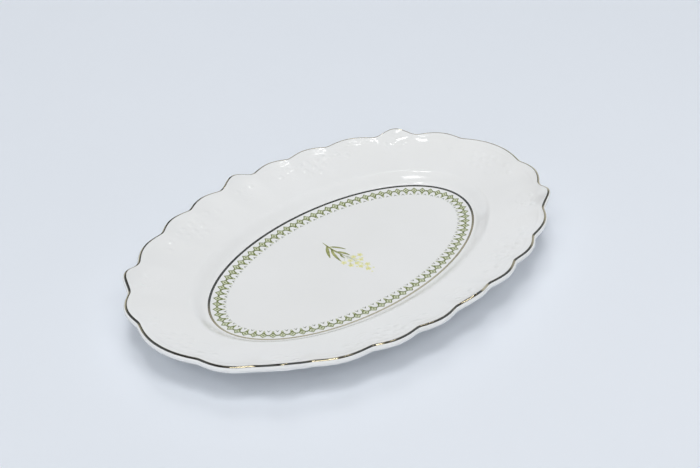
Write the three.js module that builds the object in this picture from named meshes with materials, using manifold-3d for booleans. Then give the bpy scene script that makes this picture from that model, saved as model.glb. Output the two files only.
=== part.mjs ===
// Oval serving plate with a scalloped lip: fired porcelain with gilding and enamel laid on it.
// Millimetres, +Z up. The origin is on the table under the middle of the plate, +X along its length.
import * as THREE from 'three';
import { mergeVertices } from 'three/addons/utils/BufferGeometryUtils.js';
import Module from 'manifold-3d';

// Porcelain: overall sizes and wall
const LENGTH = 362;
const WIDTH = 246;
const WALL = 5;
const RIM_RISE = 19;          // gilt line to the crest of the lip, in a notch
const CAVETTO_WIDTH = 13;     // curved wall between gilt line and flange
const CAVETTO_RISE = 7.5;     // gilt line to the edge of the flange
const CAVETTO_STEPS = 3;

// Well: the oval that the gilt line follows, and the shallow bowl inside it
const WELL_LENGTH = 246;
const WELL_WIDTH = 134;
const BOWL_WIDTH = 14;        // gilt line to the level floor
const BOWL_RISE = 1.5;
const BOWL_STEPS = 4;

// Foot ring under the floor
const FOOT_HEIGHT = 2.5;
const FOOT_WIDTH = 5;
const FOOT_INSET = 5;         // from below the gilt line to the foot's outer side
const FOOT_DRAFT = 1;         // how much wider the foot is at its root, on each side
const UNDERCUT = 3;           // how far the wall's back stands outside its front

// Scalloped lip: notches by angle in one quarter; every fourth scallop is an ogee point
const NOTCH_DEGREES = [13.5, 30.6, 45.8, 61.2, 73.6, 84.8];
const SCALLOPS_PER_POINT = 4;
const FIRST_POINT = 1;
const RIM_SQUARENESS = 2.1;   // exponent of the oval through the notches; 2 is an ellipse
const LOBE_RISE = 3.3;        // how far a lobe stands out past the notches
const POINT_RISE = 4.4;
const LOBE_LIFT = 0.7;        // how far its crest stands above the notches
const POINT_LIFT = 3.8;
const NOTCH_SOFTNESS = 0.16;  // 0 is a sharp notch
const STEPS_PER_SCALLOP = 6;
const LIP_BACK_DEGREES = [0, -45, -90];  // points of the rounded lip below the gilding, from level

// Gilding
const GILT_THICKNESS = 0.15;
const GILT_INSET = 0.6;       // from the crest of the lip inwards, on the flange
const GILT_LOWER_EDGE = 38;   // degrees above level where the band ends on the lip's outer side
const WELL_LINE_WIDTH = 1.6;
const LINE_MARGIN = 0.5;      // from the gilt line's outer edge to the cavetto

// Enamel border: a chain of open lozenges, each with a spike that points to the middle
const ENAMEL_THICKNESS = 0.15;
const BORDER_CLEARANCE = 0.1; // keeps the lace clear of the bowl's facets
const BORDER_PITCH = 7.15;
const BORDER_GAP = 1.8;       // bare glaze between the gilt line and the lozenges
const LOZENGE_HEIGHT = 6;
const SPIKE_LENGTH = 2.6;
const STROKE = 0.9;
const LOZENGE_SHARE = 0.4;    // half a lozenge's width, as a share of the pitch

// Enamel sprig in the middle of the floor, its stem to +Y
const STEM_TOP = [2.5, 27];
const STEM_BEND = [-1, 14];
const STEM_FOOT = [0.5, 3];
const STEM_WIDTH = 1.1;
const STEM_STEPS = 8;
const LEAF_WIDTH = 2;
const LEAF_STEPS = 6;
// Each leaf: where it leaves the stem, as a share of its length; its length; its heading in degrees
const LEAVES = [
  [0.2, 17, -128],
  [0.42, 17, -112],
  [0.3, 13, -58],
  [0.62, 11, -72],
  [0.8, 6, -108],
];
const BLOSSOM_ROWS = 4;
const BLOSSOM_TOP = -3;       // height of the first row of blossoms along Y
const BLOSSOM_ROW_STEP = 6.2;
const BLOSSOM_COLUMN_STEP = 5.2;
const BLOSSOM_SWAY = 0.8;     // each row is set this far to one side, in turn
const BLOSSOM_STAGGER = 1.6;  // every second blossom of a row hangs this much lower
const BLOSSOM_RADIUS = 1.4;
const BLOSSOM_SIDES = 10;

const FLOOR_TOP = FOOT_HEIGHT + WALL;
const LINE_TOP = FLOOR_TOP + BOWL_RISE;
const LIP_RADIUS = WALL / 2;
const SCALLOPS = NOTCH_DEGREES.length * 4;
const CAVETTO_START = WELL_LINE_WIDTH / 2 + LINE_MARGIN;
const CAVETTO_END = CAVETTO_START + CAVETTO_WIDTH;
const BOWL_SLOPE = (2 * BOWL_RISE) / BOWL_WIDTH;

const PORCELAIN = { color: 0xe9e9e8, roughness: 0.12, metalness: 0 };
const GOLD = { color: 0xb08a45, roughness: 0.2, metalness: 1 };
const GREEN_ENAMEL = { color: 0x7d8a45, roughness: 0.35, metalness: 0 };
const YELLOW_ENAMEL = { color: 0xd9d36a, roughness: 0.35, metalness: 0 };

const { lerp, degToRad } = THREE.MathUtils;

// Angle of notch number index, counted round the plate from the first one after +X.
function notchAngle(index) {
  const perQuarter = NOTCH_DEGREES.length;
  const quarter = Math.floor(index / perQuarter);
  const place = index % perQuarter;
  const inQuarter = quarter % 2 === 0
    ? NOTCH_DEGREES[place]
    : 90 - NOTCH_DEGREES[perQuarter - 1 - place];
  return degToRad(quarter * 90 + inQuarter);
}

// Point and outward normal of the oval through the notches.
function notchOval(angle) {
  const halfLength = LENGTH / 2 - LOBE_RISE;
  const halfWidth = WIDTH / 2 - POINT_RISE;
  const along = (value) => Math.sign(value) * Math.abs(value) ** (2 / RIM_SQUARENESS);
  const slope = (value) => Math.sign(value) * Math.abs(value) ** (2 - 2 / RIM_SQUARENESS);
  const point = new THREE.Vector2(
    halfLength * along(Math.cos(angle)),
    halfWidth * along(Math.sin(angle)),
  );
  const normal = new THREE.Vector2(
    slope(Math.cos(angle)) / halfLength,
    slope(Math.sin(angle)) / halfWidth,
  );
  return { point, normal: normal.normalize() };
}

// Height of a scallop's curve, 0 in its notches and 1 on its crest.
function scallopCurve(isPoint, share) {
  const wave = Math.sin(Math.PI * share);
  if (isPoint) return wave * wave;
  const soften = (value) => Math.hypot(value, NOTCH_SOFTNESS) - NOTCH_SOFTNESS;
  return soften(wave) / soften(1);
}

// One radial section of the plate: where the gilt line is, which way is out, how far the lip is.
function rimColumn(scallop, share) {
  const angle = lerp(notchAngle(scallop), notchAngle(scallop + 1), share);
  const isPoint = scallop % SCALLOPS_PER_POINT === FIRST_POINT;
  const curve = scallopCurve(isPoint, share);
  const { point, normal } = notchOval(angle);
  const lip = point.addScaledVector(normal, curve * (isPoint ? POINT_RISE : LOBE_RISE));
  const well = new THREE.Vector2(
    (WELL_LENGTH / 2) * Math.cos(angle),
    (WELL_WIDTH / 2) * Math.sin(angle),
  );
  const outward = lip.clone().sub(well);
  const reach = outward.length();
  const crest = LINE_TOP + RIM_RISE + curve * (isPoint ? POINT_LIFT : LOBE_LIFT);
  return { well, outward: outward.normalize(), reach, crest };
}

function rimColumns() {
  const columns = [];
  for (let scallop = 0; scallop < SCALLOPS; scallop += 1) {
    for (let step = 0; step < STEPS_PER_SCALLOP; step += 1) {
      columns.push(rimColumn(scallop, step / STEPS_PER_SCALLOP));
    }
  }
  return columns;
}

// Height of the bowl at a place near the gilt line: level floor, then a curve that steepens outwards.
function bowlHeight(x, y) {
  const halfLength = WELL_LENGTH / 2;
  const halfWidth = WELL_WIDTH / 2;
  const level = Math.hypot(x / halfLength, y / halfWidth);
  const steepness = Math.hypot(x / halfLength ** 2, y / halfWidth ** 2) / level;
  const inset = (1 - level) / steepness;
  return FLOOR_TOP + BOWL_RISE * Math.max(1 - inset / BOWL_WIDTH, 0) ** 2;
}

// Height of the upper face, out mm beyond the gilt line.
function topHeight(column, out) {
  const { well, outward, reach, crest } = column;
  const bowl = (distance) => bowlHeight(
    well.x + outward.x * distance,
    well.y + outward.y * distance,
  );
  if (out <= CAVETTO_START) return bowl(out);
  const shoulder = LINE_TOP + CAVETTO_RISE;
  const flangeWidth = reach - LIP_RADIUS - CAVETTO_END;
  const slope = (RIM_RISE - CAVETTO_RISE) / flangeWidth;
  if (out < CAVETTO_END) {
    const t = (out - CAVETTO_START) / CAVETTO_WIDTH;
    const foot = bowl(CAVETTO_START);
    return foot + (shoulder - foot) * t * t * (3 - 2 * t)
      + CAVETTO_WIDTH * t * (1 - t) * (BOWL_SLOPE * (1 - t) - slope * t);
  }
  const t = (out - CAVETTO_END) / flangeWidth;
  const lift = crest - LINE_TOP - RIM_RISE;
  return shoulder + slope * (out - CAVETTO_END) + lift * t ** 3;
}

// Point of the rounded lip at an angle above level, radius mm from the middle of its rounding.
function lipPoint(column, degrees, radius) {
  const angle = degToRad(degrees);
  return [
    column.reach - LIP_RADIUS + radius * Math.cos(angle),
    column.crest - LIP_RADIUS + radius * Math.sin(angle),
  ];
}

// The faces that the gilt band covers, from the flange over the crest of the lip.
function gildedEdge(column, thickness) {
  const inner = column.reach - LIP_RADIUS - GILT_INSET;
  const radius = LIP_RADIUS + thickness;
  return [
    [inner, topHeight(column, inner) + thickness],
    lipPoint(column, 90, radius),
    lipPoint(column, (90 + GILT_LOWER_EDGE) / 2, radius),
    lipPoint(column, GILT_LOWER_EDGE, radius),
  ];
}

// The face that the gilt line covers.
function gildedLine(column, thickness) {
  return [-WELL_LINE_WIDTH / 2, WELL_LINE_WIDTH / 2]
    .map((out) => [out, topHeight(column, out) + thickness]);
}

// Evenly spaced values from start to end.
function spaced(start, end, steps) {
  return Array.from({ length: steps + 1 }, (_, step) => lerp(start, end, step / steps));
}

// The plate's section as [out, height] pairs, from the edge of the level floor round to inside the foot.
function plateSection(column) {
  const bowl = spaced(-BOWL_WIDTH, -WELL_LINE_WIDTH / 2, BOWL_STEPS).slice(1, -1);
  const cavetto = spaced(CAVETTO_START, CAVETTO_END, CAVETTO_STEPS);
  const flangeMiddle = (CAVETTO_END + column.reach - LIP_RADIUS) / 2;
  const above = (out) => [out, topHeight(column, out)];
  const behind = (out) => [out + UNDERCUT, topHeight(column, out) - WALL];
  const footOuter = -FOOT_INSET;
  const footInner = footOuter - FOOT_WIDTH;
  return [
    [-BOWL_WIDTH, FLOOR_TOP],
    ...bowl.map(above),
    ...gildedLine(column, 0),
    ...cavetto.map(above),
    above(flangeMiddle),
    ...gildedEdge(column, 0),
    ...LIP_BACK_DEGREES.map((degrees) => lipPoint(column, degrees, LIP_RADIUS)),
    behind(flangeMiddle),
    ...cavetto.toReversed().map(behind),
    [footOuter + FOOT_DRAFT, FOOT_HEIGHT],
    [footOuter, 0],
    [footInner, 0],
    [footInner - FOOT_DRAFT, FOOT_HEIGHT],
  ];
}

// Vertices of the sections set round the plate, one section after another.
function sectionVertices(columns, sectionOf) {
  return columns.flatMap((column) => sectionOf(column).flatMap(([out, height]) => [
    column.well.x + column.outward.x * out,
    column.well.y + column.outward.y * out,
    height,
  ]));
}

// Triangles all round the plate between two points of the sections, which have size points each.
function bandTriangles(columnCount, size, step, next) {
  const triangles = [];
  for (let column = 0; column < columnCount; column += 1) {
    const here = column * size;
    const beside = ((column + 1) % columnCount) * size;
    triangles.push(here + step, here + next, beside + next, here + step, beside + next, beside + step);
  }
  return triangles;
}

function geometryOf(vertices, triangles) {
  const geometry = new THREE.BufferGeometry();
  geometry.setAttribute('position', new THREE.Float32BufferAttribute(vertices, 3));
  geometry.setIndex(triangles);
  return geometry;
}

// The fired body: its sections joined all round, closed by the floor above and below.
function porcelainGeometry(columns) {
  const size = plateSection(columns[0]).length;
  const vertices = sectionVertices(columns, plateSection);
  const floorMiddle = vertices.length / 3;
  const baseMiddle = floorMiddle + 1;
  vertices.push(0, 0, FLOOR_TOP, 0, 0, FOOT_HEIGHT);
  const triangles = [];
  for (let step = 0; step < size - 1; step += 1) {
    triangles.push(...bandTriangles(columns.length, size, step, step + 1));
  }
  for (let column = 0; column < columns.length; column += 1) {
    const here = column * size;
    const beside = ((column + 1) % columns.length) * size;
    triangles.push(floorMiddle, here, beside);
    triangles.push(baseMiddle, beside + size - 1, here + size - 1);
  }
  return geometryOf(vertices, triangles);
}

// Gilding: its back lies on the porcelain's own facets, its front stands GILT_THICKNESS proud.
function gildingGeometry(columns, face) {
  const section = (column) => [...face(column, 0), ...face(column, GILT_THICKNESS).reverse()];
  const size = section(columns[0]).length;
  const triangles = [];
  for (let step = 0; step < size; step += 1) {
    triangles.push(...bandTriangles(columns.length, size, step, (step + 1) % size));
  }
  return geometryOf(sectionVertices(columns, section), triangles.reverse());
}

// A flat patch of enamel on the level floor.
function floorPatch(shape) {
  const geometry = new THREE.ExtrudeGeometry(shape, { depth: ENAMEL_THICKNESS, bevelEnabled: false });
  return geometry.translate(0, 0, FLOOR_TOP);
}

// A patch of enamel that follows the bowl.
function bowlPatch(shape) {
  const geometry = new THREE.ExtrudeGeometry(shape, { depth: ENAMEL_THICKNESS, bevelEnabled: false });
  const points = geometry.getAttribute('position');
  for (let index = 0; index < points.count; index += 1) {
    const bowl = bowlHeight(points.getX(index), points.getY(index));
    points.setZ(index, points.getZ(index) + bowl + BORDER_CLEARANCE);
  }
  return geometry;
}

// Point of the border: turns round the plate from 0 to 1, inset mm inside the gilt line's middle.
function borderPoint(oval, turns, inset) {
  const tangent = oval.getTangentAt(turns);
  const inward = new THREE.Vector2(-tangent.y, tangent.x);
  return oval.getPointAt(turns).addScaledVector(inward, inset);
}

// The border as one lace: lozenge tips outside, spikes inside, an opening in each lozenge.
function borderGeometry() {
  const oval = new THREE.EllipseCurve(0, 0, WELL_LENGTH / 2, WELL_WIDTH / 2);
  const repeats = Math.round(oval.getLength() / BORDER_PITCH);
  const tip = WELL_LINE_WIDTH / 2 + BORDER_GAP;
  const middle = tip + LOZENGE_HEIGHT / 2;
  const openingHeight = LOZENGE_HEIGHT - 2 * STROKE;
  const openingShare = LOZENGE_SHARE - STROKE / BORDER_PITCH;
  const tips = [];
  const spikes = [];
  const openings = [];
  for (let repeat = 0; repeat < repeats; repeat += 1) {
    const at = (share, inset) => borderPoint(oval, (repeat + share) / repeats, inset);
    tips.push(at(0, middle - STROKE / 2), at(0.5, tip));
    spikes.push(at(0, middle + STROKE / 2), at(0.5, tip + LOZENGE_HEIGHT + SPIKE_LENGTH));
    openings.push(new THREE.Path([
      at(0.5 - openingShare, middle),
      at(0.5, middle - openingHeight / 2),
      at(0.5 + openingShare, middle),
      at(0.5, middle + openingHeight / 2),
    ]));
  }
  const lace = new THREE.Shape(tips);
  lace.holes.push(new THREE.Path(spikes), ...openings);
  return bowlPatch(lace);
}

function solidOf(geometry) {
  geometry.deleteAttribute('normal');
  geometry.deleteAttribute('uv');
  const merged = mergeVertices(geometry);
  return new wasm.Manifold(new wasm.Mesh({
    numProp: 3,
    vertProperties: new Float32Array(merged.getAttribute('position').array),
    triVerts: new Uint32Array(merged.getIndex().array),
  }));
}

// A strip of even width along a curve in the floor's plane.
function stemShape(curve) {
  const left = [];
  const right = [];
  for (let step = 0; step <= STEM_STEPS; step += 1) {
    const point = curve.getPoint(step / STEM_STEPS);
    const tangent = curve.getTangent(step / STEM_STEPS);
    const across = new THREE.Vector2(-tangent.y, tangent.x).multiplyScalar(STEM_WIDTH / 2);
    left.push(point.clone().add(across));
    right.push(point.clone().sub(across));
  }
  return new THREE.Shape([...left, ...right.reverse()]);
}

// A slender leaf, pointed at both ends, from base along heading.
function leafShape(base, length, heading) {
  const along = new THREE.Vector2(Math.cos(heading), Math.sin(heading));
  const across = new THREE.Vector2(-along.y, along.x);
  const edge = (side) => (share) => base.clone()
    .addScaledVector(along, share * length)
    .addScaledVector(across, (side * LEAF_WIDTH * Math.sin(Math.PI * share)) / 2);
  const shares = Array.from({ length: LEAF_STEPS }, (_, step) => step / LEAF_STEPS);
  const back = shares.map((share) => 1 - share);
  return new THREE.Shape([...shares.map(edge(-1)), ...back.map(edge(1))]);
}

// Stem and leaves, joined into one patch of enamel.
function sprigStemGeometry() {
  const curve = new THREE.QuadraticBezierCurve(
    new THREE.Vector2(...STEM_TOP),
    new THREE.Vector2(...STEM_BEND),
    new THREE.Vector2(...STEM_FOOT),
  );
  let sprig = solidOf(floorPatch(stemShape(curve)));
  for (const [share, length, degrees] of LEAVES) {
    const leaf = leafShape(curve.getPoint(share), length, degToRad(degrees));
    sprig = sprig.add(solidOf(floorPatch(leaf)));
  }
  const { vertProperties, triVerts } = sprig.getMesh();
  return geometryOf(Array.from(vertProperties), Array.from(triVerts));
}

// Places of the blossoms: rows that lose one blossom each, down to a single one.
function blossomPlaces() {
  const places = [];
  for (let row = 0; row < BLOSSOM_ROWS; row += 1) {
    const count = BLOSSOM_ROWS - row;
    const sway = row % 2 === 0 ? BLOSSOM_SWAY : -BLOSSOM_SWAY;
    for (let column = 0; column < count; column += 1) {
      const across = (column - (count - 1) / 2) * BLOSSOM_COLUMN_STEP + sway;
      const drop = row * BLOSSOM_ROW_STEP + (column % 2) * BLOSSOM_STAGGER;
      places.push([across, BLOSSOM_TOP - drop]);
    }
  }
  return places;
}

function blossomGeometry() {
  return new THREE.CylinderGeometry(BLOSSOM_RADIUS, BLOSSOM_RADIUS, ENAMEL_THICKNESS, BLOSSOM_SIDES)
    .rotateX(Math.PI / 2)
    .translate(0, 0, FLOOR_TOP + ENAMEL_THICKNESS / 2);
}

function part(name, geometry, finish) {
  const mesh = new THREE.Mesh(geometry, new THREE.MeshStandardMaterial(finish));
  mesh.name = name;
  return mesh;
}

const wasm = await Module();
wasm.setup();

const columns = rimColumns();
const plate = new THREE.Group();
plate.add(
  part('porcelain_body', porcelainGeometry(columns), PORCELAIN),
  part('gilt_lip_band', gildingGeometry(columns, gildedEdge), GOLD),
  part('gilt_well_line', gildingGeometry(columns, gildedLine), GOLD),
  part('border_print', borderGeometry(), GREEN_ENAMEL),
  part('sprig_stem', sprigStemGeometry(), GREEN_ENAMEL),
);
blossomPlaces().forEach(([across, along], index) => {
  const blossom = part(`sprig_blossom_${index + 1}`, blossomGeometry(), YELLOW_ENAMEL);
  blossom.position.set(across, along, 0);
  plate.add(blossom);
});

export default plate;
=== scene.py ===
"""Oval serving plate, dressed: glazed porcelain with an embossed flange, gilding and enamel prints."""
import math

import bpy
import numpy as np
from mathutils import Matrix, Vector


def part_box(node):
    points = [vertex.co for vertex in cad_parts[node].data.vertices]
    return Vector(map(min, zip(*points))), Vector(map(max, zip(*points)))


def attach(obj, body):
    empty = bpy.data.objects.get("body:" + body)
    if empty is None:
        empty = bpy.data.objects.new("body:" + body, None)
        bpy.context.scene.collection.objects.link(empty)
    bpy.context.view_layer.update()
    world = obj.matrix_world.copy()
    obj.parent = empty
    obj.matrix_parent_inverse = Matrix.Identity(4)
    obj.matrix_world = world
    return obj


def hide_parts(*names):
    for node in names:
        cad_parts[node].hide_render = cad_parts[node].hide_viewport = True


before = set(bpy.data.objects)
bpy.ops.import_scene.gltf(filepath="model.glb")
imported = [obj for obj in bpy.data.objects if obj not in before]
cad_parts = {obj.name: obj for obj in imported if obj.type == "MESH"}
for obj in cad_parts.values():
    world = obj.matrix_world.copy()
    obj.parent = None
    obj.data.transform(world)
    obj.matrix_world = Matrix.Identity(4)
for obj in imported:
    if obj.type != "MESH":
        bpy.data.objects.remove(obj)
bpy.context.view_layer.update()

BODY = "root"
MM = 0.001


def plan_size(node):
    """Extent of a CAD node along X and Y."""
    low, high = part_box(node)
    return (np.array(high) - np.array(low))[:2]


# Sizes read from the frame, in metres
CAD_LINE_WIDTH = 1.6 * MM
LENGTH, WIDTH = plan_size("porcelain_body")
WELL_LENGTH, WELL_WIDTH = plan_size("gilt_well_line") - CAD_LINE_WIDTH
FLOOR_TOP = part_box("sprig_stem")[0][2]

# Section of the plate
WALL = 5 * MM
LIP_RADIUS = WALL / 2
RIM_RISE = 19 * MM            # gilt line to the crest of the lip, in a notch
CAVETTO_WIDTH = 13 * MM       # curved wall between gilt line and flange
CAVETTO_RISE = 7.5 * MM       # gilt line to the edge of the flange
CAVETTO_START = 1.3 * MM      # outside the gilt line's middle
BOWL_WIDTH = 14 * MM          # gilt line to the level floor
BOWL_RISE = 1.5 * MM
BOWL_SLOPE = 2 * BOWL_RISE / BOWL_WIDTH
LINE_TOP = FLOOR_TOP + BOWL_RISE
FLANGE_SAG = 1.0 * MM         # how far the flange dips below a straight line
UNDERCUT = 3 * MM             # how far the wall's back stands outside its front
UNDERCUT_POWER = 4            # how soon the flange's back reaches that, going in from the lip

# Foot ring
FOOT_HEIGHT = FLOOR_TOP - WALL
FOOT_WIDTH = 5 * MM
FOOT_INSET = 5 * MM           # from below the gilt line to the foot's outer side
FOOT_DRAFT = 1 * MM           # how much wider the foot is below its root, on each side
FOOT_FLARE = 3 * MM           # how much wider it is at its root
FOOT_FLARE_HEIGHT = 0.4 * MM
FOOT_EDGE = 0.6 * MM          # rounding of the bearing edges

# Scalloped lip: notches by angle in one quarter; every fourth scallop is an ogee point
NOTCH_DEGREES = [13.5, 30.6, 45.8, 61.2, 73.6, 84.8]
SCALLOPS = 4 * len(NOTCH_DEGREES)
SCALLOPS_PER_POINT = 4
FIRST_POINT = 1
RIM_SQUARENESS = 2.1          # exponent of the oval through the notches; 2 is an ellipse
LOBE_RISE = 3.3 * MM          # how far a lobe stands out past the notches
POINT_RISE = 4.4 * MM
LOBE_LIFT = 0.7 * MM          # how far its crest stands above the notches
POINT_LIFT = 3.8 * MM
NOTCH_SOFTNESS = 0.16         # 0 is a sharp notch
LIFT_START = 0.68             # share of the flange beyond which it rises with the scallops

# Relief on the flange, in mm along the lip and inwards from it; beads add their radius and height
SPRAY_MIDDLE_BEADS = [(0, 14.4, 3.0, 0.35)]
SPRAY_SIDE_BEADS = [
    (4.8, 8.2, 3.0, 0.35), (9.4, 15.2, 3.0, 0.35), (12.0, 8.4, 3.0, 0.35), (4.6, 21.2, 2.8, 0.30),
    (25.0, 8.8, 3.0, 0.35), (34.4, 12.4, 2.8, 0.32),
]
SPRAY_SIDE_PATHS = [
    [(6.4, 11.2), (10.4, 11.6), (15.4, 9.6), (21, 10.4), (27.6, 7.6), (33, 6.2)],
    [(1.2, 18), (3.6, 20.6), (5.8, 26)],
    [(11.0, 20), (16.2, 23.6), (22.2, 23.0), (25.0, 19.8), (22.6, 18.2), (20.8, 19.8)],
    [(26.6, 13.8), (32.4, 15), (36.8, 11.8), (36, 8.2), (33.6, 9.2)],
]
SHELL_MIDDLE_BEADS = [(0, 6.6, 2.2, 0.20), (0, 14.6, 1.8, 0.20)]
SHELL_SIDE_BEADS = [(7.4, 7.6, 2.2, 0.46)]
SHELL_SIDE_PATHS = [
    [(1.2, 13.0), (2.0, 9), (3.2, 3)],
    [(2.0, 13.6), (4.6, 9.5), (6.8, 3.8)],
    [(3.0, 15.0), (7.6, 12.2), (11.0, 6)],
    [(2, 16.8), (6, 19.0), (10.4, 16.8), (10.4, 13.4)],
]
MOTIF_REACH = 62 * MM         # how far along the lip a motif's relief is worked out
DOME_POWER = 1.4              # 1 is a parabola; more is a bead with a softer edge
PATH_WIDTH = 0.75 * MM
PATH_HEIGHT = 0.09 * MM
PATH_TAPER_SPAN = (0.06, 0.97)  # stretch of half a sine wave that a path's height follows
PATH_TAPER_POWER = 0.5
FESTOON_NOTCH_INSET = 2.0 * MM  # of the ridge inside a lobe, from the lip
FESTOON_CREST_INSET = 4.6 * MM
FESTOON_WIDTH = 0.9 * MM
FESTOON_HEIGHT = 0.10 * MM
FESTOON_TAPER_POWER = 0.6
EMBOSS_FADE = (0.8 * MM, 2.4 * MM)  # from the lip inwards, where the relief begins and is full

# Gilding and enamel stand this far above the glaze, and are bedded this far into it
PRINT_HEIGHT = 0.05 * MM
PRINT_BED = 0.05 * MM
GILT_HEIGHT = 0.08 * MM
GILT_INSET = 0.15 * MM        # from the crest of the lip inwards, on the flange
GILT_LOWER_EDGE = 53          # degrees above level where the band ends on the lip's outer side
GILT_EDGE_ANGLE = math.radians(40)
WELL_LINE_WIDTH = 1.75 * MM

# Green border, measured inwards from the middle of the gilt line
BORDER_PITCH = 7.15 * MM
LOZENGE_TIP = 2.2 * MM
LOZENGE_HEIGHT = 6.6 * MM
LOZENGE_MIDDLE = LOZENGE_TIP + LOZENGE_HEIGHT / 2
LOZENGE_HALF_WIDTH = 3.1 * MM
LOZENGE_STROKE = 0.7 * MM
SPIKE_TIP = 10.5 * MM
SPIKE_TIP_HALF_WIDTH = 0.8 * MM
SPIKE_END = 11.8 * MM
SPIKE_CLEARANCE = 0.01 * MM   # keeps neighbouring spikes apart
SPIKE_LIFT = 0.03 * MM        # of spikes, above the rest of the print
SPIKE_LINK = 0.1 * MM         # from the lozenges' middle to where neighbouring spikes come together
ARCH_CROWN = 0.7 * MM         # from the lozenges' middle to the top of the arch between two spikes
HEART_GAP = 0.2 * MM
HEART_SHOULDER = 0.3          # share of a heart's length where it is widest
HEART_HALF_WIDTH = 0.7 * MM
LINK_DOT_RADIUS = 0.65 * MM
CENTRE_DOT_RADIUS = 0.7 * MM
MARK_LIFT = 0.07 * MM         # of hearts and dots, above the rest of the print
DASH_APEX = 9.7 * MM
DASH_LENGTH = 2.5 * MM
DASH_WIDTH = 3.2 * MM
DASH_STROKE = 1.2 * MM

# Sprig: each stroke is its start, bend, end and width, in mm
STEM_FOOT = (0.5, 3)
STEM = [(2.5, 27.5), (-1, 14), STEM_FOOT, 1.7]
LEAVES = [
    [(1.4, 22), (-3.5, 17.5), (-9, 9), 2.6],
    [(0.4, 16.5), (-4.5, 11), (-7, -0.5), 2.4],
    [(1.1, 20), (5, 16.5), (7.6, 8.6), 1.9],
    [(0.1, 11.5), (3, 7.5), (3.6, 0.8), 2.2],
    [(0.1, 7.5), (-2, 4.5), (-1.8, 1), 1.6],
]
STROKE_END_WIDTH = 0.12       # share of a stroke's width that it has at its ends
STROKE_SPAN = (0.02, 0.98)    # shares of a stroke beyond which it gets no thinner
STROKE_POWER = 0.8
STALK_WIDTH = 0.3             # in mm, as the other strokes
STALK_BEND = 0.12             # how far a stalk bows out, as a share of its length along Y
STALK_LIFT = -0.02 * MM
PETALS = 5
PETAL_DEPTH = 0.2
BLOSSOM_RADIUS = 2.4 * MM
BLOSSOM_TURN = 0.7            # radians from one blossom to the next
BLOSSOM_LIFT = 0.01 * MM
EYE_RADIUS = 0.45 * MM
EYE_LIFT = 0.02 * MM
# Smaller buds between the blossoms: place and radius, in mm
BUDS = [
    (-4.6, -7.2, 1.1), (1.7, -7.0, 1.0), (6.9, -8.6, 1.0), (1.4, -13.4, 1.0),
    (-4.4, -13.6, 0.9), (0.9, -19.0, 1.0), (2.8, -23.4, 0.9), (-1.6, -26.0, 0.9),
]
BUD_TURN = 0.5                # radians for each mm of a bud's place along X

# Fineness of the meshes
STEPS_PER_SCALLOP = 44
FLOOR_RINGS = 10
BOWL_RINGS = 12
CAVETTO_RINGS = 18
FLANGE_RINGS = 92
LIP_RINGS = 14
BACK_RINGS = 18
FOOT_CORNER_STEPS = 4
GILT_STEPS = 7
LINE_STEPS = 3
PATH_SAMPLES = 16
BORDER_SAMPLES = 7200
ARCH_STEPS = 9
DOT_SIDES = 12
STROKE_STEPS = 18
BLOSSOM_POINTS = 40
TINY = 1e-6                   # keeps the middle of the floor from dividing by 0

# Noise of the materials
NOISE_SPAN = (0.3, 0.7)       # where nearly all of its values lie
NOISE_DETAIL = 2.0
COLOUR_DETAIL = 3.0

# Stage: a flat floor that sweeps up into a wall, in metres
FLOOR_RADIUS = 2.4
FLOOR_SHARES = (0.1, 0.25, 0.5, 0.75, 1.0)
SWEEP_RADIUS = 0.6
SWEEP_HEIGHT = 0.9
SWEEP_STEPS = 12
STAGE_SIDES = 96

# Camera, from the photograph's perspective: its place, and the ways to its back and its right
CAMERA_PLACE = (-0.5741, -0.5397, 0.5234)
CAMERA_BACK = (-0.6184, -0.5780, 0.5324)
CAMERA_RIGHT = (0.6753, -0.7374, -0.0162)
CAMERA_LENS = 65.7
CAMERA_SENSOR = 36.0

# Level ways that the lamps are placed by: away from the camera, and to its right
AWAY = Vector((-CAMERA_BACK[0], -CAMERA_BACK[1], 0)).normalized()
ACROSS = Vector((AWAY.y, -AWAY.x, 0))

# Sky: a weak even light from all round
SKY_COLOUR = (0.975, 0.99, 1.005)
SKY_STRENGTH = 0.21

# Lamps: each has a name, a direction (away, across, up), a size in metres and a radiance
SOFTBOX_DISTANCE = 14.0
SOFTBOXES = [
    ("box_top", (-0.24, 0.00, 0.97), (3.5, 3.5), 8.53),
    ("box_left", (-0.37, -0.44, 0.82), (5.6, 5.6), 2.47),
    ("box_right", (-0.37, 0.44, 0.82), (5.6, 5.6), 2.47),
    ("box_front", (-0.80, 0.00, 0.60), (7.0, 7.0), 2.33),
    ("box_back", (0.46, -0.12, 0.88), (2.3, 2.3), 5.30),
    ("box_far", (0.60, 0.00, 0.80), (7.0, 7.0), 1.33),
]
STRIP_DISTANCE = 1.6
STRIPS = [
    ("strip_far", (0.395, 0.16, 0.905), (0.18, 0.04), 12),
    ("strip_top", (0.20, 0.01, 0.98), (0.20, 0.10), 14),
    ("strip_near", (-0.20, 0.0, 0.98), (0.54, 0.13), 9),
]

# The room that gloss mirrors: its colour by height, from 0 at the horizon to 1 overhead
ROOM = [
    (0.0, (0.80, 0.84, 0.90)),
    (0.30, (0.74, 0.78, 0.84)),
    (0.47, (0.50, 0.52, 0.56)),
    (0.57, (0.15, 0.18, 0.26)),
    (0.84, (0.15, 0.175, 0.25)),
    (0.93, (0.13, 0.125, 0.13)),
    (1.0, (0.125, 0.115, 0.11)),
]
# A dark flag in that room: places from -1 at the left to 1 at the right, with the room's share at each
FLAG_SPAN = [(-0.43, 1.0), (-0.39, 0.0), (-0.27, 0.0), (-0.19, 1.0)]
FLAG_COLOUR = (0.03, 0.032, 0.04)


# Outline

def notch_angle(index):
    """Angle of a notch, counted round the plate from the first one after +X."""
    quarter, place = divmod(index, len(NOTCH_DEGREES))
    in_quarter = NOTCH_DEGREES[place] if quarter % 2 == 0 else 90 - NOTCH_DEGREES[-1 - place]
    return math.radians(90 * quarter + in_quarter)


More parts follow.
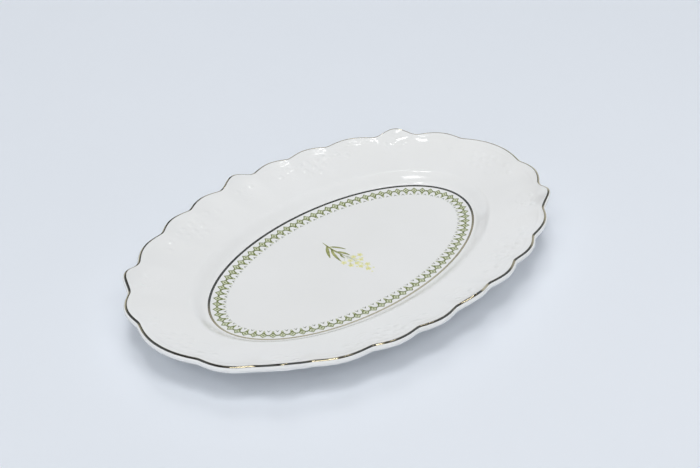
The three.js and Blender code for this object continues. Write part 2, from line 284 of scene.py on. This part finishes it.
def signed_power(value, exponent):
    return np.sign(value) * np.abs(value) ** exponent


def smoothstep(t):
    return t * t * (3 - 2 * t)


def length_along(loop):
    """Length round a closed loop from its first point to each point, and to the first again."""
    steps = np.linalg.norm(np.roll(loop, -1, axis=0) - loop, axis=1)
    return np.concatenate([[0], np.cumsum(steps)])


def scallop_curve(is_point, share):
    """Height of a scallop's curve, 0 in its notches and 1 on its crest."""
    wave = np.sin(np.pi * share)
    lobe = np.hypot(wave, NOTCH_SOFTNESS) - NOTCH_SOFTNESS
    full = math.hypot(1, NOTCH_SOFTNESS) - NOTCH_SOFTNESS
    return np.where(is_point, wave ** 2, lobe / full)


def bowl_height(x, y):
    """Height of the floor and of the shallow bowl that it rises into towards the gilt line."""
    half_length, half_width = WELL_LENGTH / 2, WELL_WIDTH / 2
    level = np.maximum(np.hypot(x / half_length, y / half_width), TINY)
    steepness = np.maximum(np.hypot(x / half_length ** 2, y / half_width ** 2), TINY) / level
    inset = (1 - level) / steepness
    return FLOOR_TOP + BOWL_RISE * np.maximum(1 - inset / BOWL_WIDTH, 0) ** 2


class Columns:
    """Radial sections of the plate, set round it: gilt line, way out, reach and crest of each."""

    def __init__(self, steps):
        index = np.arange(SCALLOPS * steps)
        self.steps = steps
        self.scallop = index // steps
        self.share = (index % steps) / steps
        self.is_point = self.scallop % SCALLOPS_PER_POINT == FIRST_POINT
        notches = np.array([notch_angle(k) for k in range(SCALLOPS + 1)])
        angle = notches[self.scallop] + self.share * np.diff(notches)[self.scallop]
        cosine, sine = np.cos(angle), np.sin(angle)
        half_length, half_width = LENGTH / 2 - LOBE_RISE, WIDTH / 2 - POINT_RISE
        power = 2 / RIM_SQUARENESS
        self.oval = np.stack([half_length * signed_power(cosine, power),
                              half_width * signed_power(sine, power)], axis=1)
        self.along = length_along(self.oval)
        normal = np.stack([signed_power(cosine, 2 - power) / half_length,
                           signed_power(sine, 2 - power) / half_width], axis=1)
        normal /= np.linalg.norm(normal, axis=1, keepdims=True)
        curve = scallop_curve(self.is_point, self.share)
        rise = curve * np.where(self.is_point, POINT_RISE, LOBE_RISE)
        lip = self.oval + normal * rise[:, None]
        self.well = np.stack([WELL_LENGTH / 2 * cosine, WELL_WIDTH / 2 * sine], axis=1)
        self.reach = np.linalg.norm(lip - self.well, axis=1)
        self.outward = (lip - self.well) / self.reach[:, None]
        self.lift = curve * np.where(self.is_point, POINT_LIFT, LOBE_LIFT)
        self.crest = LINE_TOP + RIM_RISE + self.lift

    def plan(self, out):
        """Plan places, out metres beyond the gilt line's middle in every section."""
        return self.well + self.outward * np.reshape(out, (-1, 1))

    def points(self, out, height):
        """A ring of points at a height, out metres beyond the gilt line's middle in every section."""
        flat = self.plan(out)
        return np.column_stack([flat, np.broadcast_to(height, len(flat))])

    def flange_span(self):
        """Where the flange starts and where it ends under the crest of the lip."""
        return CAVETTO_START + CAVETTO_WIDTH, self.reach - LIP_RADIUS

    def bowl(self, out):
        return bowl_height(*self.plan(out).T)

    def top_height(self, out):
        """Height of the plain upper face, out metres beyond the gilt line's middle."""
        out = np.broadcast_to(out, self.reach.shape)
        start, end = self.flange_span()
        shoulder = LINE_TOP + CAVETTO_RISE
        slope = (RIM_RISE - CAVETTO_RISE) / (end - start)
        first_slope = slope - 4 * FLANGE_SAG / (end - start)
        t = np.clip((out - CAVETTO_START) / CAVETTO_WIDTH, 0, 1)
        foot = self.bowl(CAVETTO_START)
        wall = foot + (shoulder - foot) * smoothstep(t)
        wall = wall + CAVETTO_WIDTH * t * (1 - t) * (BOWL_SLOPE * (1 - t) - first_slope * t)
        share = np.clip((out - start) / (end - start), 0, 1)
        rise = np.clip((share - LIFT_START) / (1 - LIFT_START), 0, 1) ** 2
        flange = shoulder + slope * (out - start) + self.lift * rise
        # share * (1 - share) is a quarter where the sag is deepest
        flange = flange - 4 * FLANGE_SAG * share * (1 - share)
        return np.where(out <= CAVETTO_START, self.bowl(out), np.where(out < start, wall, flange))

    def face(self, out, height=0.0):
        """A ring of points on the upper face, or height above it."""
        return self.points(out, self.top_height(out) + height)

    def lip_ring(self, degrees, radius):
        """A ring of points round the lip's rounding, degrees above level."""
        angle = math.radians(degrees)
        return self.points(self.reach - LIP_RADIUS + radius * math.cos(angle),
                           self.crest - LIP_RADIUS + radius * math.sin(angle))


# Meshes

def add_object(name, vertices, faces, *materials, smooth=True):
    mesh = bpy.data.meshes.new(name)
    mesh.from_pydata([tuple(v) for v in vertices], [], faces)
    mesh.update()
    piece = bpy.data.objects.new(name, mesh)
    bpy.context.scene.collection.objects.link(piece)
    for material in materials:
        mesh.materials.append(material)
    mesh.polygons.foreach_set("use_smooth", [smooth] * len(mesh.polygons))
    return piece


def ring_faces(ring_count, size, closed=False):
    """Quads between neighbouring rings of size points, which face up where the rings go outwards."""
    faces = []
    for ring in range(ring_count if closed else ring_count - 1):
        here, there = ring * size, ((ring + 1) % ring_count) * size
        for k in range(size):
            n = (k + 1) % size
            faces.append((here + k, there + k, there + n, here + n))
    return faces


def raised(loop, height):
    """Points of an outline, height above the floor and bowl."""
    x, y = np.array(loop).T
    return list(zip(x, y, bowl_height(x, y) + height))


def flat_mesh(name, loops, material, lift=0.0):
    """Thin closed patches on the floor, one for each outline, counterclockwise from above."""
    vertices, faces = [], []
    for loop in loops:
        first, size = len(vertices), len(loop)
        vertices += raised(loop, -PRINT_BED) + raised(loop, PRINT_HEIGHT + lift)
        faces.append([first + size + k for k in range(size)])
        faces.append([first + size - 1 - k for k in range(size)])
        for k in range(size):
            n = (k + 1) % size
            faces.append((first + k, first + n, first + size + n, first + size + k))
    return add_object(name, vertices, faces, material, smooth=False)


def band_mesh(name, outer, inner, material):
    """Thin closed rings on the floor, each between two outlines with as many points."""
    vertices, faces = [], []
    low, high = -PRINT_BED, PRINT_HEIGHT
    for outside, inside in zip(outer, inner):
        first = len(vertices)
        corners = [(inside, low), (inside, high), (outside, high), (outside, low)]
        for loop, height in corners:
            vertices += raised(loop, height)
        for face in ring_faces(len(corners), len(outside), closed=True):
            faces.append([first + v for v in face])
    return add_object(name, vertices, faces, material, smooth=False)


# Embossing on the flange

def mirror(points):
    """Beads, or a path's points, turned over to the other side of a motif."""
    return [(-along, *rest) for along, *rest in points]


def whole_motif(middle_beads, side_beads, side_paths):
    """All beads and paths of a motif whose two sides mirror each other."""
    beads = middle_beads + side_beads + mirror(side_beads)
    paths = side_paths + [mirror(path) for path in side_paths]
    return beads, paths


def smooth_path(path):
    """Points along a Catmull-Rom curve through the path's own points."""
    control = np.array([path[0], *path, path[-1]], dtype=float)
    points = []
    for k in range(len(path) - 1):
        a, b, c, d = control[k:k + 4]
        for t in np.linspace(0, 1, PATH_SAMPLES, endpoint=False):
            points.append(0.5 * (2 * b + (c - a) * t + (2 * a - 5 * b + 4 * c - d) * t ** 2
                                 + (3 * b - 3 * c + d - a) * t ** 3))
    points.append(control[-1])
    return np.array(points)


def on_flange(columns, along, inset):
    """Plan places of points given along the lip and inwards from it, in metres."""
    total = columns.along[-1]
    place = np.interp(np.mod(along, total), columns.along, np.arange(len(columns.along)))
    low = np.floor(place).astype(int) % len(columns.reach)
    high = (low + 1) % len(columns.reach)
    blend = (place - np.floor(place))[:, None]
    well = columns.well[low] * (1 - blend) + columns.well[high] * blend
    lip = columns.oval[low] * (1 - blend) + columns.oval[high] * blend
    out = lip - well
    reach = np.linalg.norm(out, axis=1, keepdims=True)
    return well + out / reach * (reach - LIP_RADIUS - np.reshape(inset, (-1, 1)))


def distances(places, targets):
    gap = places[:, None, :] - targets[None, :, :]
    return np.sqrt((gap ** 2).sum(axis=2))


def motif_height(columns, places, centre, beads, paths):
    """Height of one motif's relief at plan places near it."""
    along, inset, radius, dome = np.array(beads).T * MM
    gap = distances(places, on_flange(columns, centre + along, inset)) / radius
    height = (dome * np.clip(1 - gap ** 2, 0, 1) ** DOME_POWER).max(axis=1)
    for path in paths:
        along, inset = smooth_path(path).T * MM
        gap = distances(places, on_flange(columns, centre + along, inset))
        taper = np.sin(np.pi * np.linspace(*PATH_TAPER_SPAN, len(along))) ** PATH_TAPER_POWER
        ridge = PATH_HEIGHT * np.exp(-(gap.min(axis=1) / PATH_WIDTH) ** 2)
        height = np.maximum(height, ridge * taper[gap.argmin(axis=1)])
    return height


def festoon_height(columns, inset):
    """A low ridge inside every lobe, which follows its edge."""
    wave = np.sin(np.pi * columns.share)
    line = FESTOON_NOTCH_INSET + (FESTOON_CREST_INSET - FESTOON_NOTCH_INSET) * wave
    taper = np.where(columns.is_point, 0, wave ** FESTOON_TAPER_POWER)
    return FESTOON_HEIGHT * taper * np.exp(-((inset - line) / FESTOON_WIDTH) ** 2)


def emboss(columns, outs):
    """Relief on the flange for rings at outs, an array of rings by sections."""
    shell = whole_motif(SHELL_MIDDLE_BEADS, SHELL_SIDE_BEADS, SHELL_SIDE_PATHS)
    spray = whole_motif(SPRAY_MIDDLE_BEADS, SPRAY_SIDE_BEADS, SPRAY_SIDE_PATHS)
    motifs = {FIRST_POINT: shell, FIRST_POINT + SCALLOPS_PER_POINT // 2: spray}
    plan = columns.well[None] + columns.outward[None] * outs[..., None]
    height = np.zeros(outs.shape)
    total = columns.along[-1]
    for scallop in range(SCALLOPS):
        motif = motifs.get(scallop % SCALLOPS_PER_POINT)
        if motif is None:
            continue
        centre = columns.along[scallop * columns.steps + columns.steps // 2]
        offset = np.mod(columns.along[:-1] - centre + total / 2, total) - total / 2
        near = np.flatnonzero(np.abs(offset) < MOTIF_REACH)
        relief = motif_height(columns, plan[:, near].reshape(-1, 2), centre, *motif)
        height[:, near] = np.maximum(height[:, near], relief.reshape(len(outs), len(near)))
    inset = (columns.reach - LIP_RADIUS)[None] - outs
    height = np.maximum(height, festoon_height(columns, inset))
    fade_start, fade_end = EMBOSS_FADE
    return height * smoothstep(np.clip((inset - fade_start) / (fade_end - fade_start), 0, 1))


# Porcelain

def front_rings(columns):
    """Rings from near the middle of the floor to the crest of the lip."""
    edge = columns.points(-BOWL_WIDTH, FLOOR_TOP)
    rings = []
    for share in np.linspace(0, 1, FLOOR_RINGS + 1)[1:]:
        rings.append(edge * [share, share, 1])
    for out in np.linspace(-BOWL_WIDTH, CAVETTO_START, BOWL_RINGS + 1)[1:]:
        rings.append(columns.face(out))
    start, end = columns.flange_span()
    for out in np.linspace(CAVETTO_START, start, CAVETTO_RINGS + 1)[1:]:
        rings.append(columns.face(out))
    shares = np.linspace(0, 1, FLANGE_RINGS + 1)[1:, None]
    outs = start + shares * (end - start)[None]
    for out, height in zip(outs, emboss(columns, outs)):
        rings.append(columns.face(out, height))
    return rings


def lip_rings(columns):
    """Rings round the lip, from below its crest to its under side."""
    return [columns.lip_ring(degrees, LIP_RADIUS) for degrees in np.linspace(90, -90, LIP_RINGS + 1)[1:]]


def back_rings(columns):
    """Rings from under the lip along the back of the flange and wall to the foot."""
    start, end = columns.flange_span()
    rings = []
    for share in np.linspace(1, 0, BACK_RINGS + 1)[1:]:
        out = start + share * (end - start)
        undercut = UNDERCUT * (1 - share ** UNDERCUT_POWER)
        rings.append(columns.points(out + undercut, columns.top_height(out) - WALL))
    for out in np.linspace(start, CAVETTO_START, CAVETTO_RINGS + 1)[1:]:
        rings.append(columns.points(out + UNDERCUT, columns.top_height(out) - WALL))
    return rings


def foot_side(turns):
    """Half the foot ring's section, from its root to the bearing face, as (out from its side, height)."""
    side = [(FOOT_FLARE, FOOT_HEIGHT), (FOOT_DRAFT, FOOT_HEIGHT - FOOT_FLARE_HEIGHT)]
    for turn in turns:
        side.append((FOOT_EDGE * (math.cos(turn) - 1), FOOT_EDGE * (1 - math.sin(turn))))
    return side


def foot_rings(columns):
    """Rings round the foot from its outer root to its inner root, and which of them bear on the table."""
    side = foot_side(np.linspace(0, math.pi / 2, FOOT_CORNER_STEPS + 1))
    outer, inner = -FOOT_INSET, -FOOT_INSET - FOOT_WIDTH
    profile = [(outer + away, height) for away, height in side]
    profile += [(inner - away, height) for away, height in reversed(side)]
    bearing = range(len(side) - 1 - FOOT_CORNER_STEPS // 2, len(side) + FOOT_CORNER_STEPS // 2)
    return [columns.points(out, height) for out, height in profile], bearing


def porcelain_body(columns, glaze, bisque):
    """The fired body, glazed all over apart from the foot ring's bearing face."""
    rings = front_rings(columns) + lip_rings(columns) + back_rings(columns)
    foot, bearing = foot_rings(columns)
    first_foot_ring = len(rings)
    rings += foot
    for share in np.linspace(1, 0, FLOOR_RINGS + 1)[1:-1]:
        rings.append(foot[-1] * [share, share, 1])
    size = len(columns.reach)
    vertices = np.concatenate([*rings, [(0, 0, FLOOR_TOP)], [(0, 0, FOOT_HEIGHT)]])
    faces = ring_faces(len(rings), size)
    top, bottom = len(vertices) - 2, len(vertices) - 1
    last = (len(rings) - 1) * size
    for k in range(size):
        n = (k + 1) % size
        faces.append((top, k, n))
        faces.append((bottom, last + n, last + k))
    piece = add_object("plate_porcelain", vertices, faces, glaze, bisque)
    for ring in bearing:
        first_face = (first_foot_ring + ring) * size
        for k in range(size):
            piece.data.polygons[first_face + k].material_index = 1
    return piece


# Gilding

def gilding(name, columns, rings_at, gold):
    """Gold leaf: rings_at(height) gives its face at a height above the glaze, bedded into it behind."""
    rings = rings_at(GILT_HEIGHT) + rings_at(-PRINT_BED)[::-1]
    faces = ring_faces(len(rings), len(columns.reach), closed=True)
    piece = add_object(name, np.concatenate(rings), faces, gold)
    piece.data.set_sharp_from_angle(angle=GILT_EDGE_ANGLE)
    return piece


def gilt_lip(columns, gold):
    """The gold band over the crest of the lip."""
    def rings_at(height):
        rings = [columns.face(columns.reach - LIP_RADIUS - GILT_INSET, height)]
        for degrees in np.linspace(90, GILT_LOWER_EDGE, GILT_STEPS):
            rings.append(columns.lip_ring(degrees, LIP_RADIUS + height))
        return rings
    return gilding("gilt_lip", columns, rings_at, gold)


def gilt_line(columns, gold):
    """The gold line round the well."""
    half = WELL_LINE_WIDTH / 2

    def rings_at(height):
        return [columns.face(out, height) for out in np.linspace(-half, half, LINE_STEPS)]
    return gilding("gilt_line", columns, rings_at, gold)


# Green border: outlines are (along, inset) pairs from the middle of a repeat, counterclockwise from above

class Border:
    """Places along the border: how far round the gilt line, and how far inside it."""

    def __init__(self):
        turn = np.linspace(0, 2 * np.pi, BORDER_SAMPLES, endpoint=False)
        loop = np.column_stack([WELL_LENGTH / 2 * np.cos(turn), WELL_WIDTH / 2 * np.sin(turn)])
        self.loop = np.vstack([loop, loop[:1]])
        self.along = length_along(loop)
        self.repeats = round(self.along[-1] / BORDER_PITCH)
        self.pitch = self.along[-1] / self.repeats

    def place(self, repeat, outline):
        """Plan points of an outline in one repeat."""
        along, inset = np.array(outline).T
        along = np.mod((repeat + 0.5) * self.pitch + along, self.along[-1])
        x = np.interp(along, self.along, self.loop[:, 0])
        y = np.interp(along, self.along, self.loop[:, 1])
        normal = np.column_stack([x / WELL_LENGTH ** 2, y / WELL_WIDTH ** 2])
        normal /= np.linalg.norm(normal, axis=1, keepdims=True)
        return np.column_stack([x, y]) - normal * inset[:, None]

    def all(self, outline):
        return [self.place(repeat, outline) for repeat in range(self.repeats)]


def lozenge(shrink):
    """Outline of a lozenge, drawn in by shrink on every side."""
    slant = math.hypot(LOZENGE_HALF_WIDTH, LOZENGE_HEIGHT / 2)
    half_height = LOZENGE_HEIGHT / 2 - shrink * slant / LOZENGE_HALF_WIDTH
    half_width = LOZENGE_HALF_WIDTH - shrink * slant / (LOZENGE_HEIGHT / 2)
    return [(half_width, LOZENGE_MIDDLE), (0, LOZENGE_MIDDLE + half_height),
            (-half_width, LOZENGE_MIDDLE), (0, LOZENGE_MIDDLE - half_height)]


def dot(x, y, radius):
    """Outline of a round dot."""
    turns = np.linspace(0, 2 * np.pi, DOT_SIDES, endpoint=False)
    return [(x + radius * math.cos(t), y + radius * math.sin(t)) for t in turns]


def spike(pitch):
    """Outline of the spike below a lozenge, between two round-headed arches."""
    lower = LOZENGE_TIP + LOZENGE_HEIGHT - LOZENGE_STROKE
    crown = LOZENGE_MIDDLE + ARCH_CROWN
    half = pitch / 2 - SPIKE_CLEARANCE
    right = [(half, LOZENGE_MIDDLE + SPIKE_LINK)]
    for angle in np.linspace(0, math.pi / 2, ARCH_STEPS):
        away = (half - SPIKE_TIP_HALF_WIDTH) * math.sin(angle)
        right.append((half - away, crown + (SPIKE_TIP - crown) * (1 - math.cos(angle))))
    left = [(-along, inset) for along, inset in reversed(right)]
    return [(0, lower), *right, *left]


def spike_end():
    """Outline of the pale end of a spike."""
    half = SPIKE_TIP_HALF_WIDTH
    return [(half, SPIKE_TIP), (0, SPIKE_END), (-half, SPIKE_TIP)]


def spike_heart():
    """Outline of the pale middle of a spike."""
    top = LOZENGE_TIP + LOZENGE_HEIGHT + HEART_GAP
    shoulder = top + (SPIKE_TIP - top) * HEART_SHOULDER
    half = HEART_HALF_WIDTH
    return [(half, shoulder), (0, SPIKE_TIP), (-half, shoulder), (0, top)]


def dash(pitch):
    """A small V in the mouth of an arch, open towards the middle of the plate."""
    end = DASH_APEX + DASH_LENGTH
    middle, half = pitch / 2, DASH_WIDTH / 2
    return [(middle + half, end), (middle, DASH_APEX + DASH_STROKE),
            (middle - half, end), (middle, DASH_APEX)]


def green_border(olive, pale, grey):
    """The printed border's pieces."""
    border = Border()
    outer = border.all(lozenge(0))
    inner = border.all(lozenge(LOZENGE_STROKE))
    centre_dots = border.all(dot(0, LOZENGE_MIDDLE, CENTRE_DOT_RADIUS))
    link_dots = border.all(dot(border.pitch / 2, LOZENGE_MIDDLE, LINK_DOT_RADIUS))
    lozenges = band_mesh("border_lozenges", outer, inner, olive)
    fills = flat_mesh("border_fills", inner + border.all(spike_end()), pale)
    hearts = flat_mesh("border_hearts", border.all(spike_heart()), pale, MARK_LIFT)
    spikes = flat_mesh("border_spikes", border.all(spike(border.pitch)), olive, SPIKE_LIFT)
    dots = flat_mesh("border_dots", centre_dots + link_dots, olive, MARK_LIFT)
    dashes = flat_mesh("border_dashes", border.all(dash(border.pitch)), grey)
    return [lozenges, fills, spikes, hearts, dots, dashes]


# Sprig

def stroke(start, bend, end, width):
    """Outline, in metres, of a brush stroke that swells in the middle; its own sizes are in mm."""
    start, bend, end = np.array(start), np.array(bend), np.array(end)
    left, right = [], []
    for t in np.linspace(0, 1, STROKE_STEPS):
        point = (1 - t) ** 2 * start + 2 * t * (1 - t) * bend + t * t * end
        along = (1 - t) * (bend - start) + t * (end - bend)
        across = np.array([-along[1], along[0]]) / np.linalg.norm(along)
        swell = math.sin(math.pi * np.clip(t, *STROKE_SPAN)) ** STROKE_POWER
        half = width / 2 * (STROKE_END_WIDTH + (1 - STROKE_END_WIDTH) * swell)
        left.append((point + across * half) * MM)
        right.append((point - across * half) * MM)
    return right + left[::-1]


def stalk(end):
    """Outline of the fine stalk from the foot of the stem to a blossom, whose place is in mm."""
    foot = np.array(STEM_FOOT)
    side = -1 if end[0] < 0 else 1
    bow = np.array([side * STALK_BEND * (end[1] - foot[1]), 0])
    return stroke(foot, (foot + end) / 2 + bow, end, STALK_WIDTH)


def blossom_loop(x, y, full_radius, turn):
    """Outline of a blossom with round petals."""
    angles = np.linspace(0, 2 * np.pi, BLOSSOM_POINTS, endpoint=False)
    radius = full_radius * (1 - PETAL_DEPTH + PETAL_DEPTH * np.cos(PETALS * (angles - turn)))
    return np.column_stack([x + radius * np.cos(angles), y + radius * np.sin(angles)])


def sprig(leaf_green, stalk_green, yellow, ochre):
    """Stem with leaves, and the blossoms on fine stalks where the CAD nodes are."""
    nodes = sorted(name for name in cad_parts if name.startswith("sprig_blossom_"))
    centres = [np.mean(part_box(node), axis=0)[:2] for node in nodes]
    heads = [blossom_loop(*c, BLOSSOM_RADIUS, BLOSSOM_TURN * k) for k, c in enumerate(centres)]
    heads += [blossom_loop(x * MM, y * MM, radius * MM, BUD_TURN * x) for x, y, radius in BUDS]
    stem = flat_mesh("sprig_leaves", [stroke(*shape) for shape in [STEM, *LEAVES]], leaf_green)
    stalks = flat_mesh("sprig_stalks", [stalk(c / MM) for c in centres], stalk_green, STALK_LIFT)
    blossoms = flat_mesh("sprig_blossoms", heads, yellow, BLOSSOM_LIFT)
    eyes = flat_mesh("sprig_eyes", [dot(*c, EYE_RADIUS) for c in centres], ochre, EYE_LIFT)
    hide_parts("sprig_stem")
    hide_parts(*nodes)
    return [stem, stalks, blossoms, eyes]


# Materials

def noise(nodes, links, scale, detail=NOISE_DETAIL):
    """A noise texture in the plate's own frame; scale is repeats per metre."""
    place = nodes.new("ShaderNodeTexCoord")
    texture = nodes.new("ShaderNodeTexNoise")
    texture.inputs["Scale"].default_value = scale
    texture.inputs["Detail"].default_value = detail
    links.new(place.outputs["Object"], texture.inputs["Vector"])
    return texture.outputs["Fac"]


def ramp(nodes, links, value, stops):
    """Colours by value; each stop is (position, colour)."""
    node = nodes.new("ShaderNodeValToRGB")
    elements = node.color_ramp.elements
    while len(elements) < len(stops):
        elements.new(1.0)
    for element, (position, colour) in zip(elements, stops):
        element.position = position
        element.color = (*colour, 1)
    links.new(value, node.inputs["Fac"])
    return node.outputs["Color"]


def map_range(nodes, links, value, span, low, high):
    """A value's span mapped to low and high."""
    node = nodes.new("ShaderNodeMapRange")
    node.inputs["From Min"].default_value = span[0]
    node.inputs["From Max"].default_value = span[1]
    node.inputs["To Min"].default_value = low
    node.inputs["To Max"].default_value = high
    links.new(value, node.inputs["Value"])
    return node.outputs["Result"]


def add_bump(nodes, links, shader, scale, strength, depth):
    node = nodes.new("ShaderNodeBump")
    node.inputs["Strength"].default_value = strength
    node.inputs["Distance"].default_value = depth
    links.new(noise(nodes, links, scale), node.inputs["Height"])
    links.new(node.outputs["Normal"], shader.inputs["Normal"])


def surface(name, colours, rough, colour_scale, rough_scale, bump=None, metallic=0.0, ior=1.5):
    """A material whose colour and roughness vary; a bump is its repeats per metre, strength and depth."""
    material = bpy.data.materials.new(name)
    material.use_nodes = True
    nodes, links = material.node_tree.nodes, material.node_tree.links
    shader = nodes["Principled BSDF"]
    shader.inputs["Metallic"].default_value = metallic
    shader.inputs["IOR"].default_value = ior
    tone = noise(nodes, links, colour_scale, COLOUR_DETAIL)
    links.new(ramp(nodes, links, tone, list(zip(NOISE_SPAN, colours))), shader.inputs["Base Color"])
    gloss = noise(nodes, links, rough_scale)
    links.new(map_range(nodes, links, gloss, NOISE_SPAN, *rough), shader.inputs["Roughness"])
    if bump:
        add_bump(nodes, links, shader, *bump)
    return material


GLAZE = surface("glaze", ((0.85, 0.85, 0.835), (0.875, 0.875, 0.865)), rough=(0.05, 0.08),
                colour_scale=14, rough_scale=60, bump=(14, 0.02, 0.6 * MM), ior=1.52)
BISQUE = surface("bisque", ((0.60, 0.56, 0.50), (0.72, 0.69, 0.63)), rough=(0.65, 0.85),
                 colour_scale=240, rough_scale=300, bump=(2500, 0.35, 0.1 * MM))
GOLD = surface("burnished_gold", ((0.45, 0.405, 0.285), (0.56, 0.505, 0.355)), rough=(0.05, 0.11),
               colour_scale=90, rough_scale=260, bump=(400, 0.06, 0.1 * MM), metallic=1.0)
OLIVE = surface("olive_enamel", ((0.12, 0.15, 0.025), (0.20, 0.23, 0.06)), rough=(0.22, 0.40),
                colour_scale=420, rough_scale=300, bump=(1500, 0.1, 0.04 * MM))
PALE_GREEN = surface("pale_green_enamel", ((0.58, 0.62, 0.42), (0.67, 0.70, 0.52)), rough=(0.20, 0.35),
                     colour_scale=420, rough_scale=300)
GREY = surface("grey_enamel", ((0.13, 0.15, 0.085), (0.20, 0.22, 0.14)), rough=(0.20, 0.35),
               colour_scale=420, rough_scale=300)
LEAF_GREEN = surface("leaf_enamel", ((0.17, 0.20, 0.065), (0.46, 0.47, 0.18)), rough=(0.22, 0.40),
                     colour_scale=160, rough_scale=300, bump=(1500, 0.1, 0.04 * MM))
YELLOW = surface("yellow_enamel", ((0.76, 0.74, 0.30), (0.85, 0.84, 0.52)), rough=(0.20, 0.35),
                 colour_scale=260, rough_scale=300)
OCHRE = surface("ochre_enamel", ((0.62, 0.55, 0.16), (0.70, 0.64, 0.24)), rough=(0.22, 0.40),
                colour_scale=400, rough_scale=300)
PAPER = surface("pale_floor", ((0.805, 0.842, 0.894), (0.835, 0.868, 0.92)), rough=(0.55, 0.65),
                colour_scale=1.1, rough_scale=30)


# The plate

def dress_plate():
    """Makes every piece, hides the CAD nodes that they stand in for, and hangs each on the plate's body.
    """
    columns = Columns(STEPS_PER_SCALLOP)
    body = porcelain_body(columns, GLAZE, BISQUE)
    lip = gilt_lip(columns, GOLD)
    line = gilt_line(columns, GOLD)
    border = green_border(OLIVE, PALE_GREEN, GREY)
    stem, stalks, blossoms, eyes = sprig(LEAF_GREEN, PALE_GREEN, YELLOW, OCHRE)
    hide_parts("porcelain_body")
    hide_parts("gilt_lip_band")
    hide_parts("gilt_well_line")
    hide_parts("border_print")
    slots = {
        "porcelain": [body],
        "gilding": [lip, line],
        "green_enamel": [*border, stem, stalks],
        "yellow_enamel": [blossoms, eyes],
    }
    for slot, pieces in slots.items():
        for piece in pieces:
            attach(piece, BODY)


# Stage, camera and light

def stage_floor():
    """A pale floor that sweeps up into a wall all round, far from the plate."""
    profile = [(FLOOR_RADIUS * share, 0) for share in FLOOR_SHARES]
    for turn in np.linspace(0, math.pi / 2, SWEEP_STEPS + 1)[1:]:
        profile.append((FLOOR_RADIUS + SWEEP_RADIUS * math.sin(turn), SWEEP_RADIUS * (1 - math.cos(turn))))
    profile.append((FLOOR_RADIUS + SWEEP_RADIUS, SWEEP_HEIGHT))
    turns = np.linspace(0, 2 * math.pi, STAGE_SIDES, endpoint=False)
    vertices = [(r * math.cos(t), r * math.sin(t), z) for r, z in profile for t in turns]
    faces = ring_faces(len(profile), STAGE_SIDES)
    vertices.append((0, 0, 0))
    faces += [(len(vertices) - 1, k, (k + 1) % STAGE_SIDES) for k in range(STAGE_SIDES)]
    floor = add_object("studio_floor", vertices, faces, PAPER)
    floor.visible_glossy = False


def add_camera():
    data = bpy.data.cameras.new("camera")
    data.lens = CAMERA_LENS
    data.sensor_width = CAMERA_SENSOR
    camera = bpy.data.objects.new("camera", data)
    bpy.context.scene.collection.objects.link(camera)
    back, right = Vector(CAMERA_BACK).normalized(), Vector(CAMERA_RIGHT).normalized()
    up = back.cross(right).normalized()
    turn = Matrix((up.cross(back), up, back)).transposed().to_4x4()
    camera.matrix_world = Matrix.Translation(CAMERA_PLACE) @ turn
    bpy.context.scene.camera = camera


def area_light(name, direction, distance, size, radiance):
    """A lamp facing the plate; its direction is away from the camera, to the camera's right, and up."""
    data = bpy.data.lights.new(name, "AREA")
    data.shape = "RECTANGLE"
    data.size, data.size_y = size
    data.energy = radiance * math.pi * size[0] * size[1]
    light = bpy.data.objects.new(name, data)
    bpy.context.scene.collection.objects.link(light)
    back = (AWAY * direction[0] + ACROSS * direction[1] + Vector((0, 0, direction[2]))).normalized()
    side = back.cross(ACROSS).normalized()
    turn = Matrix((side.cross(back), side, back)).transposed().to_4x4()
    light.matrix_world = Matrix.Translation(back * distance) @ turn
    return light


def room_colour(nodes, links):
    """Colour of the room by direction: pale near the horizon, dim overhead, with the flag on the left."""
    direction = nodes.new("ShaderNodeTexCoord").outputs["Generated"]
    split = nodes.new("ShaderNodeSeparateXYZ")
    links.new(direction, split.inputs["Vector"])
    across = nodes.new("ShaderNodeVectorMath")
    across.operation = "DOT_PRODUCT"
    across.inputs[1].default_value = ACROSS
    links.new(direction, across.inputs[0])
    share = map_range(nodes, links, across.outputs["Value"], (-1, 1), 0, 1)
    stops = [((place + 1) / 2, (level, level, level)) for place, level in FLAG_SPAN]
    blend = nodes.new("ShaderNodeMixRGB")
    blend.inputs["Color1"].default_value = (*FLAG_COLOUR, 1)
    links.new(ramp(nodes, links, share, stops), blend.inputs["Fac"])
    links.new(ramp(nodes, links, split.outputs["Z"], ROOM), blend.inputs["Color2"])
    return blend.outputs["Color"]


def light_dome():
    """A weak even sky that lights the plate, and a room that only glossy surfaces mirror."""
    world = bpy.data.worlds.new("studio")
    world.use_nodes = True
    nodes, links = world.node_tree.nodes, world.node_tree.links
    sky = nodes["Background"]
    sky.inputs["Color"].default_value = (*SKY_COLOUR, 1)
    sky.inputs["Strength"].default_value = SKY_STRENGTH
    room = nodes.new("ShaderNodeBackground")
    links.new(room_colour(nodes, links), room.inputs["Color"])
    ray = nodes.new("ShaderNodeLightPath")
    mix = nodes.new("ShaderNodeMixShader")
    links.new(ray.outputs["Is Glossy Ray"], mix.inputs[0])
    links.new(sky.outputs["Background"], mix.inputs[1])
    links.new(room.outputs["Background"], mix.inputs[2])
    links.new(mix.outputs["Shader"], nodes["World Output"].inputs["Surface"])
    bpy.context.scene.world = world


def light_stage():
    """The dome, large softboxes that the gloss doesn't show, and strips that it shows as streaks."""
    light_dome()
    for name, direction, size, radiance in SOFTBOXES:
        box = area_light(name, direction, SOFTBOX_DISTANCE, size, radiance)
        box.data.color = SKY_COLOUR
        box.visible_glossy = False
    for name, direction, size, radiance in STRIPS:
        area_light(name, direction, STRIP_DISTANCE, size, radiance)
    bpy.context.scene.view_settings.view_transform = "Standard"


dress_plate()
stage_floor()
add_camera()
light_stage()
